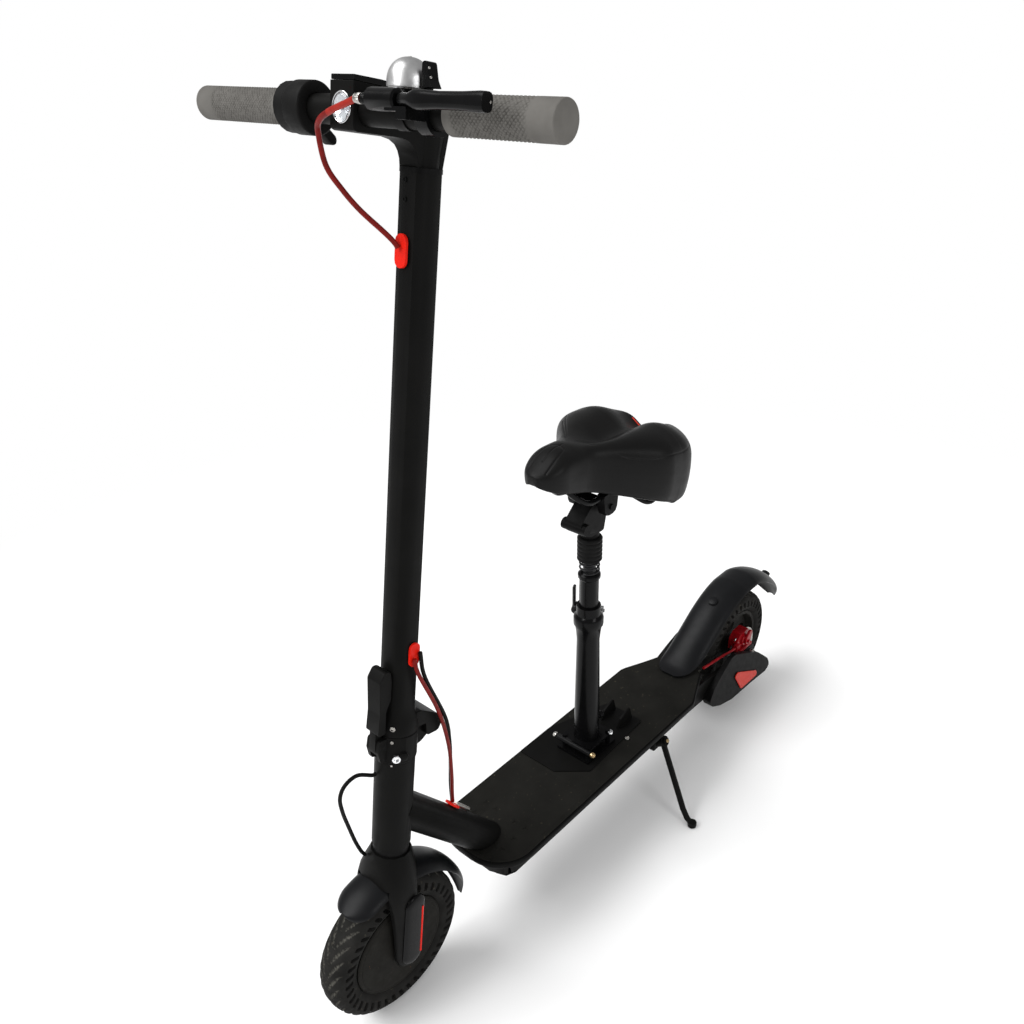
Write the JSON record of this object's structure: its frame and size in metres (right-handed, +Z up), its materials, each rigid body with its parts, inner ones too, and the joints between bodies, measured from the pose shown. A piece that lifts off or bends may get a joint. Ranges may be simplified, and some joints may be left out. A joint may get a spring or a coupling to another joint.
{
  "type": "folding electric scooter with seat",
  "caption": "Folding electric kick scooter with a sprung seat on a mast, hub-motor front wheel, cable-pulled rear disc brake, kickstand and bell.",
  "frame": {"origin": "on the floor under the middle of the whole box", "axes": "+X towards the front wheel, +Y to the rider's left, +Z up"},
  "size_m": [1.117, 0.428, 1.0977],
  "materials": {
    "frame_paint": "satin black paint",
    "moulded_black": "fine moulded grain",
    "fender_plastic": "satin",
    "black_rubber": "matte",
    "deck_rubber": "matte with raised marks",
    "tyre_rubber": "worn tread",
    "hub_metal": "dark painted casting",
    "grey_grip": "knurled",
    "red_rubber": "satin",
    "reflector_red": "clear over prisms",
    "caliper_red": "anodised gloss",
    "cable_red": "satin sleeve",
    "silver": "satin",
    "steel": "brushed",
    "lamp_glass": "clear",
    "saddle_shell": "moulded",
    "saddle_vinyl": "soft sheen",
    "battery_wrap": "shrink wrap",
    "controller_case": "cast"
  },
  "bodies": {
    "chassis": {"main_frame": "frame_paint", "deck_mat": "deck_rubber", "bottom_cover": "moulded_black", "battery_pack": "battery_wrap", "motor_controller": "controller_case", "rear_cover_left": "moulded_black", "rear_cover_right": "moulded_black", "rear_reflector_left": "reflector_red", "rear_reflector_right": "reflector_red", "rear_axle": "steel", "brake_caliper": "caliper_red", "rear_brake_cable": "cable_red", "rear_fender": "fender_plastic", "kickstand_bracket": "frame_paint", "neck_grommet": "red_rubber", "seat_strap_plate": "frame_paint", "seat_mast": "frame_paint", "upper_bearing": "steel", "lower_bearing": "black_rubber"},
    "steering": {"fork": "frame_paint", "fork_cover_left": "fender_plastic", "fork_cover_right": "fender_plastic", "front_fender": "fender_plastic", "fold_base": "frame_paint", "motor_cable": "black_rubber", "brake_cable_lower": "cable_red", "power_cable": "black_rubber"},
    "stem": {"stem_tube": "frame_paint", "stem_head": "frame_paint", "dash_cover": "fender_plastic", "headlight_lens": "lamp_glass", "handlebar": "frame_paint", "grip_left": "grey_grip", "grip_right": "grey_grip", "throttle_housing": "moulded_black", "brake_perch": "frame_paint", "bell_dome": "silver", "upper_grommet": "red_rubber", "lower_grommet": "red_rubber", "brake_cable_upper": "cable_red"},
    "latch": {"fold_latch": "frame_paint"},
    "hand_lever": {"brake_lever": "frame_paint"},
    "thumb_throttle": {"throttle_lever": "black_rubber"},
    "button": {"power_button": "black_rubber"},
    "bell_thumb": {"bell_lever": "moulded_black"},
    "pull_arm": {"caliper_arm": "caliper_red"},
    "stand": {"kickstand": "frame_paint"},
    "seat_lever": {"seat_qr_lever": "silver"},
    "front_wheel": {"front_tyre": "tyre_rubber", "front_hub": "hub_metal"},
    "rear_wheel": {"rear_tyre": "tyre_rubber", "rear_hub": "hub_metal", "brake_disc": "steel"},
    "post": {"seat_post": "frame_paint", "seat_spring": "steel"},
    "carrier": {"seat_piston": "steel", "seat_boot": "black_rubber", "saddle_clamp": "frame_paint"},
    "saddle": {"saddle_rails": "saddle_shell", "saddle_cushion": "saddle_vinyl"}
  },
  "joints": [
    {"name": "steer", "type": "hinge", "parent": "chassis", "child": "steering", "pos_m": [0.4576, 0, 0.1094], "axis": [-0.1927, 0, 0.9813], "range_deg": [-60, 60], "deforming": ["brake_cable_lower", "power_cable", "motor_cable"]},
    {"name": "stem_fold", "type": "hinge", "parent": "steering", "child": "stem", "pos_m": [0.35223, 0, 0.42806], "axis": [0, -1, 0], "range_deg": [0, 22], "deforming": ["brake_cable_lower", "power_cable"]},
    {"name": "latch_turn", "type": "hinge", "parent": "steering", "child": "latch", "pos_m": [0.42421, 0, 0.42997], "axis": [0, 1, 0], "range_deg": [0, 90]},
    {"name": "brake_squeeze", "type": "hinge", "parent": "stem", "child": "hand_lever", "pos_m": [0.37027, 0.087, 1.07313], "axis": [-0.1927, 0, 0.9813], "range_deg": [0, 8.5], "stiffness_Nm_per_rad": 0.4, "springref_deg": -2.86},
    {"name": "caliper_pull", "type": "hinge", "parent": "chassis", "child": "pull_arm", "pos_m": [-0.3785, 0.05, 0.1425], "axis": [0, 1, 0], "range_deg": [0, 15]},
    {"name": "throttle_push", "type": "hinge", "parent": "stem", "child": "thumb_throttle", "pos_m": [0.34453, -0.0967, 1.06145], "axis": [0, -1, 0], "range_deg": [0, 45], "stiffness_Nm_per_rad": 0.05, "springref_deg": -5.73},
    {"name": "bell_push", "type": "hinge", "parent": "stem", "child": "bell_thumb", "pos_m": [0.34145, 0.06, 1.07715], "axis": [0.1927, 0, -0.9813], "range_deg": [0, 15], "stiffness_Nm_per_rad": 0.02, "springref_deg": -5.73},
    {"name": "button_press", "type": "slide", "parent": "stem", "child": "button", "axis": [0.1927, 0, -0.9813], "range_m": [0, 0.0015], "stiffness_N_per_m": 200, "springref_m": -0.001},
    {"name": "front_wheel_spin", "type": "hinge", "parent": "steering", "child": "front_wheel", "pos_m": [0.4505, 0, 0.108], "axis": [0, 1, 0], "continuous": true},
    {"name": "rear_wheel_spin", "type": "hinge", "parent": "chassis", "child": "rear_wheel", "pos_m": [-0.3905, 0, 0.108], "axis": [0, 1, 0], "continuous": true},
    {"name": "kickstand_fold", "type": "hinge", "parent": "chassis", "child": "stand", "pos_m": [-0.0825, 0.068, 0.119], "axis": [0.03, 0.8207, 0.5705], "range_deg": [0, 90]},
    {"name": "seat_lever_open", "type": "hinge", "parent": "chassis", "child": "seat_lever", "pos_m": [0.0194, -0.03109, 0.394], "axis": [0.878, 0.4787, 0], "range_deg": [0, 100]},
    {"name": "seat_height", "type": "slide", "parent": "chassis", "child": "post", "axis": [0, 0, 1], "range_m": [-0.035, 0.05]},
    {"name": "seat_suspension", "type": "slide", "parent": "post", "child": "carrier", "axis": [0, 0, 1], "range_m": [-0.02, 0], "stiffness_N_per_m": 15000, "springref_m": 0.004, "deforming": ["seat_spring"]},
    {"name": "saddle_tilt", "type": "hinge", "parent": "carrier", "child": "saddle", "pos_m": [0.0275, 0, 0.583], "axis": [0, 1, 0], "range_deg": [-8, 8]}
  ],
  "couplings": [
    {"joint": "caliper_pull", "follows": "brake_squeeze", "ratio": 1.5}
  ]
}
